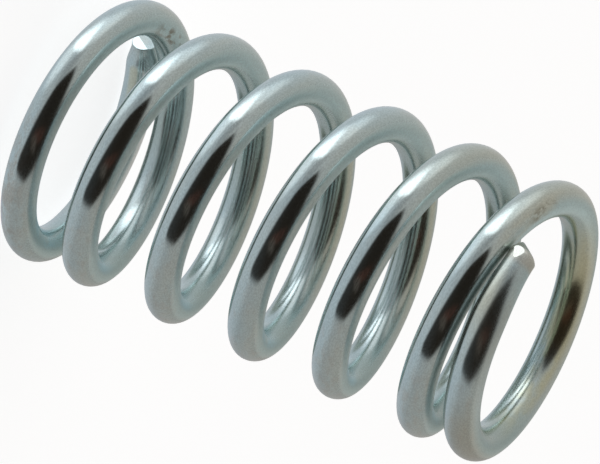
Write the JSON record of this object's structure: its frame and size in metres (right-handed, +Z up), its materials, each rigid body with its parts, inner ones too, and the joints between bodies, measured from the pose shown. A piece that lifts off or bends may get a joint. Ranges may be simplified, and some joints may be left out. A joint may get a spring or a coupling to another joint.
{
  "type": "compression spring",
  "caption": "Open-coil helical compression spring in bright zinc-plated round wire, with closed unground ends that seat square on a flat.",
  "frame": {"origin": "on the coil's axis, level with the lowest point of the lower end, in the middle of the footprint", "axes": "+Z runs up the coil's axis, and +X points from the axis to the lower wire tip"},
  "size_m": [0.0132, 0.0132, 0.0256],
  "materials": {
    "plated_wire": "bright zinc plate over drawn spring wire"
  },
  "bodies": {
    "root": {"spring_wire": "plated_wire"}
  },
  "joints": []
}
